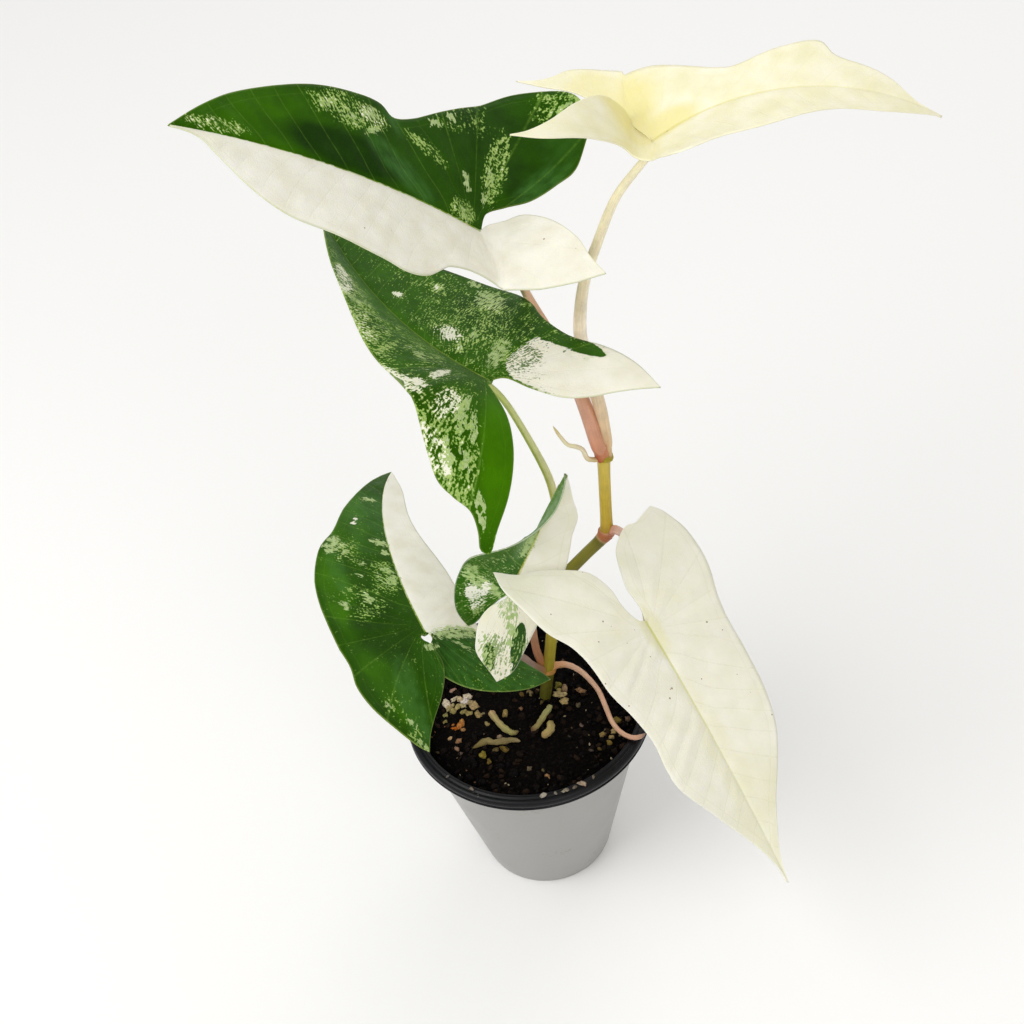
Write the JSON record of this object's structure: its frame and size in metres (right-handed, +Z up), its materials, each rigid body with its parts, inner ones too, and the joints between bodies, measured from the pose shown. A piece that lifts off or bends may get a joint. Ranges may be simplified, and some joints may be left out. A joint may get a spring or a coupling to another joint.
{
  "type": "arrowhead plant",
  "caption": "Young arrowhead vine with variegated arrow-shaped leaves on slender stalks, growing in a small round tapered nursery pot.",
  "frame": {"origin": "centre of the pot's flat underside", "axes": "+Z up along the pot's axis, -Y towards the plant's open front"},
  "size_m": [0.2066, 0.1894, 0.3511],
  "materials": {
    "pot_plastic": "gloss",
    "growing_mix": "matte",
    "stem": "satin",
    "stalk_cream": "satin",
    "stalk_green": "satin",
    "stalk_brown": "satin",
    "stalk_pink": "satin",
    "root_pink": "satin",
    "root_pale": "satin",
    "leaf_cream": "satin",
    "leaf_green": "satin",
    "leaf_white": "satin"
  },
  "bodies": {
    "root": {"pot": "pot_plastic", "soil": "growing_mix", "stem": "stem", "petiole_top": "stalk_cream", "petiole_upper_left": "stalk_cream", "petiole_marbled": "stalk_green", "petiole_lower_left": "stalk_brown", "petiole_small": "stalk_pink", "petiole_front": "stalk_pink", "aerial_root_long": "root_pink", "aerial_root_short": "root_pale", "leaf_top": "leaf_cream", "leaf_upper_left": "leaf_green", "leaf_marbled": "leaf_green", "leaf_lower_left": "leaf_green", "leaf_small": "leaf_white", "leaf_front": "leaf_white"}
  },
  "joints": []
}
